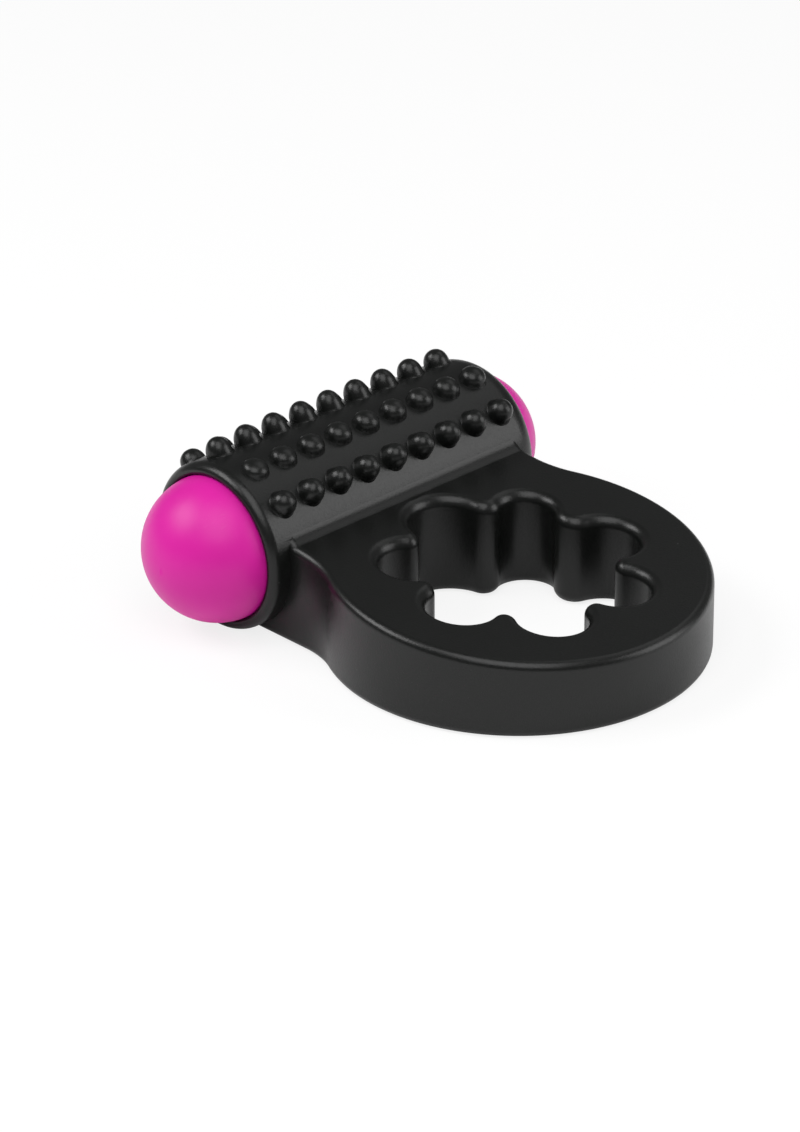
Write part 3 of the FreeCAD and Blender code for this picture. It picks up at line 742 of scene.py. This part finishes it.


# %% [markdown]
# Silicone rubber for the skin is dyed through and comes from a blasted mould, so it is satin and
# never a mirror. The black is a warm grey whose tone changes a little at random, in slow, faint
# clouds. A trace of dust keeps the wide ring from looking like one flat black shape.

# %% Material: black silicone
def silicone(name, dark, light, roughness):
    made, tree, shader, place = start_material(name, IOR=1.42, Specular_IOR_Level=0.46)
    skin = use(tree, mould_grain, place, Grains_per_metre=5200.0, Clouds_per_metre=90.0)
    dust = use(tree, dust_specks, place, Specks_per_metre=640.0, Share=0.05, Speck_size=0.06)
    body = blend_colours(tree, skin["Cloud"], dark, light)
    speck = tuple(0.03 + 2 * c for c in light)
    dusty = blend_colours(tree, dust["Mask"], body, speck)
    tree.links.new(dusty, shader.inputs["Base Color"])
    tree.links.new(scale_to(tree, skin["Grain"], roughness, roughness + 0.2),
                   shader.inputs["Roughness"])
    bump(tree, shader, skin["Grain"], 0.3, 0.00005)
    return made


# %% [markdown]
# The capsule is moulded in coloured ABS and is satin too, but harder: its highlights are broad
# and clear. The same recipe with a coat of lacquer over it makes the circuit board.

# %% Material: moulded plastic
def moulded_plastic(name, dark, light, roughness, coat=0.0, gloss=0.5):
    made, tree, shader, place = start_material(name, IOR=1.5, Specular_IOR_Level=gloss,
                                               Coat_Weight=coat, Coat_Roughness=0.22)
    skin = use(tree, mould_grain, place, Grains_per_metre=5200.0, Clouds_per_metre=110.0)
    worn = use(tree, hairline_scuffs, place, Scuffs_per_metre=240.0, Amount=0.4)
    body = blend_colours(tree, skin["Cloud"], dark, light)
    pale = tuple(0.75 * c + 0.12 for c in light)
    scuffed = blend_colours(tree, scale_to(tree, worn["Mask"], 0.0, 0.25), body, pale)
    tree.links.new(scuffed, shader.inputs["Base Color"])
    rough = put(tree, "Math", {0: scale_to(tree, skin["Cloud"], roughness, roughness + 0.06),
                               1: scale_to(tree, worn["Mask"], 0.0, 0.2)}, operation="ADD")
    tree.links.new(rough.outputs[0], shader.inputs["Roughness"])
    bump(tree, shader, skin["Grain"], 0.12, 0.00004)
    return made


# %% [markdown]
# Metal shows the tool that made it. Turned rings change the tone a little and tilt the surface
# a little, and scuffs cross them. The flat base colour alone would look like painted plastic.

# %% Material: turned or drawn metal
def worked_metal(name, dark, light, roughness, marks=9000.0, relief=0.25):
    made, tree, shader, place = start_material(name, Metallic=1.0)
    rings = use(tree, turning_marks, place, Marks_per_metre=marks)
    worn = use(tree, hairline_scuffs, place, Scuffs_per_metre=420.0, Amount=0.6)
    body = blend_colours(tree, rings["Tone"], dark, light)
    scuffed = blend_colours(tree, worn["Mask"], body, tuple(0.8 * c for c in light))
    tree.links.new(scuffed, shader.inputs["Base Color"])
    rough = put(tree, "Math", {0: scale_to(tree, rings["Tone"], roughness, roughness + 0.12),
                               1: scale_to(tree, worn["Mask"], 0.0, 0.15)}, operation="ADD")
    tree.links.new(rough.outputs[0], shader.inputs["Roughness"])
    bump(tree, shader, rings["Height"], relief, 0.00002)
    return made


# %% [markdown]
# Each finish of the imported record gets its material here, from two base colours and a roughness.
# The two colours are close together, because moulded and machined parts vary only a little.

# %% The finishes of this object
finishes = {
    "sleeve_silicone": silicone("sleeve_silicone", (0.0034, 0.0038, 0.0035),
                                (0.0062, 0.0067, 0.0063), 0.27),
    "seal_rubber": silicone("seal_rubber", (0.014, 0.014, 0.014), (0.024, 0.024, 0.023), 0.48),
    "cradle_silicone": silicone("cradle_silicone", (0.62, 0.61, 0.57), (0.75, 0.74, 0.70), 0.42),
    "capsule_plastic": moulded_plastic("capsule_plastic", (0.61, 0.0095, 0.300),
                                       (0.69, 0.0135, 0.345), 0.38, gloss=0.3),
    "white_plastic": moulded_plastic("white_plastic", (0.70, 0.69, 0.66), (0.80, 0.79, 0.76),
                                     0.42),
    "black_plastic": moulded_plastic("black_plastic", (0.020, 0.020, 0.021),
                                     (0.036, 0.036, 0.037), 0.38),
    "circuit_board": moulded_plastic("circuit_board", (0.018, 0.115, 0.045),
                                     (0.030, 0.165, 0.070), 0.26, coat=0.5),
    "steel": worked_metal("steel", (0.50, 0.50, 0.51), (0.66, 0.66, 0.67), 0.22),
    "cell_steel": worked_metal("cell_steel", (0.60, 0.60, 0.59), (0.74, 0.74, 0.73), 0.16,
                               marks=5000.0, relief=0.12),
    "brass": worked_metal("brass", (0.62, 0.44, 0.19), (0.78, 0.60, 0.30), 0.20),
    "weight_metal": worked_metal("weight_metal", (0.36, 0.35, 0.33), (0.48, 0.47, 0.45), 0.38,
                                 marks=3000.0, relief=0.4),
    "magnet": worked_metal("magnet", (0.055, 0.055, 0.057), (0.10, 0.10, 0.10), 0.50,
                           marks=2500.0, relief=0.4),
    "armature": worked_metal("armature", (0.36, 0.17, 0.08), (0.55, 0.30, 0.16), 0.28,
                             marks=2600.0, relief=0.8),
}
print(len(finishes), "finishes")

# %% [markdown]
# The record says which finish each CAD node has. The material goes into the node's own slot, so
# its mesh stays untouched. The two pieces made here are given theirs by name: the sleeve is
# silicone, and the thread is of the same plastic as the cap.

# %% Put them on the pieces
slot_of = {part["node"]: part["material_slot"] for part in frame["record"]["subparts"]}
for node_name, node_object in frame["nodes"].items():
    node_object.data.materials.clear()
    node_object.data.materials.append(finishes[slot_of[node_name]])
for piece, slot_name in ((sleeve, "sleeve_silicone"), (thread, "capsule_plastic")):
    piece.data.materials.clear()
    piece.data.materials.append(finishes[slot_name])
print("finishes on", len(frame["nodes"]) + 2, "pieces")


# %% [markdown]
# The background is white to the camera, whatever the lamps do. Light Path tells which ray looks
# at it: a ray from the camera or through glass sees the plain white, and a reflection only a
# part of it, because a wholly white room would turn black rubber grey.

# %% Who sees the white
def background_share(tree, gloss):
    """How much of the plain white a ray sees: all for the camera, a part for reflections."""
    ray = put(tree, "LightPath")
    part = put(tree, "Math", {0: ray.outputs["Is Glossy Ray"], 1: gloss}, operation="MULTIPLY")
    straight = put(tree, "Math", {0: ray.outputs["Is Camera Ray"],
                                  1: ray.outputs["Is Transmission Ray"]}, operation="MAXIMUM")
    seen = put(tree, "Math", {0: straight.outputs[0], 1: part.outputs[0]}, operation="MAXIMUM")
    return seen.outputs[0]


# %% [markdown]
# The object stands on a plain white floor. To the camera the floor is mostly an even white, and
# the rest of it is an ordinary matt surface that takes the object's shadow.

# %% Floor
FLOOR_IN_GLOSS = 0.15
EVEN_WHITE = 0.82
deselect()
bpy.ops.mesh.primitive_plane_add(size=6, location=(0, 0, 0))
floor = named("floor")
paper = bpy.data.materials.new("white_paper")
paper.use_nodes = True
tree = paper.node_tree
tree.nodes.clear()
matt = put(tree, "BsdfDiffuse", {"Color": (0.95, 0.95, 0.95, 1)})
glow = put(tree, "Emission", {"Color": (1, 1, 1, 1), "Strength": 1.0})
share = put(tree, "Math", {0: background_share(tree, FLOOR_IN_GLOSS), 1: EVEN_WHITE},
            operation="MULTIPLY")
both = put(tree, "MixShader", {0: share.outputs[0], 1: matt.outputs["BSDF"],
                               2: glow.outputs["Emission"]})
put(tree, "OutputMaterial", {"Surface": both.outputs["Shader"]})
floor.data.materials.append(paper)
print("floor:", tuple(round(v, 1) for v in floor.dimensions), "m")


# %% [markdown]
# The world is white to the camera too. For everything else it is a weak grey fill light, which
# keeps the shaded sides from going fully black.

# %% World
WORLD_IN_GLOSS = 0.05
world = bpy.data.worlds.new("studio")
bpy.context.scene.world = world
world.use_nodes = True
tree = world.node_tree
tree.nodes.clear()
fill = put(tree, "Background", {"Color": (0.80, 0.80, 0.80, 1), "Strength": 0.14})
white = put(tree, "Background", {"Color": (1, 1, 1, 1), "Strength": 1.0})
choice = put(tree, "MixShader", {0: background_share(tree, WORLD_IN_GLOSS),
                                 1: fill.outputs["Background"], 2: white.outputs["Background"]})
put(tree, "OutputWorld", {"Surface": choice.outputs["Shader"]})
print("world:", len(tree.nodes), "nodes")


# %% [markdown]
# Four softboxes give the satin parts their highlights. The large one hangs overhead, a smaller
# one stands behind on the left, and two on the right, low and high, light the barrel. A lamp
# aims along its own -Z, so the direction from lamp to object, tracked to -Z, turns it the
# right way.

# %% Softboxes
LIT_POINT = Vector((0, 0.012, 0.008))


def softbox(name, azimuth, elevation, distance, width, height, watts):
    turn, lift = math.radians(azimuth), math.radians(elevation)
    away = Vector((math.sin(turn) * math.cos(lift), -math.cos(turn) * math.cos(lift),
                   math.sin(lift)))
    lamp = bpy.data.lights.new(name, "AREA")
    lamp.shape = "RECTANGLE"
    lamp.size, lamp.size_y = width, height
    lamp.energy = watts
    stand = bpy.data.objects.new(name, lamp)
    bpy.context.collection.objects.link(stand)
    stand.location = LIT_POINT + away * distance
    stand.rotation_euler = (-away).to_track_quat("-Z", "Y").to_euler()
    print("%s: %.2f W at %.2f m" % (name, watts, distance))


softbox("softbox_back_left", -132, 46, 0.45, 0.28, 0.20, 1.15)
softbox("softbox_overhead", -42, 62, 0.50, 0.38, 0.48, 1.65)
softbox("softbox_right_low", 42, 22, 0.45, 0.26, 0.30, 0.8)
softbox("softbox_right_high", 88, 52, 0.45, 0.30, 0.22, 0.16)


# %% [markdown]
# The camera looks down on the ring from the front left with a long lens, which keeps the ring's
# near and far sides about the same size. Its three axes are written out as a matrix.

# %% Camera and view settings
lens = bpy.data.cameras.new("camera")
lens.lens = 159.49
lens.sensor_width = 36
lens.clip_start, lens.clip_end = 0.01, 10
camera = bpy.data.objects.new("camera", lens)
bpy.context.collection.objects.link(camera)
right, up, back = ((0.71972, -0.69425, -0.00433), (0.31952, 0.32569, 0.88985),
                   (-0.61637, -0.64182, 0.45623))
camera.matrix_world = (Matrix.Translation((-0.33043, -0.32647, 0.24732))
                       @ Matrix((right, up, back)).transposed().to_4x4())
bpy.context.scene.camera = camera
bpy.context.scene.view_settings.view_transform = "Standard"
bpy.context.view_layer.update()
print("camera %.2f m away, lens %.0f mm" % (camera.location.length, lens.lens))
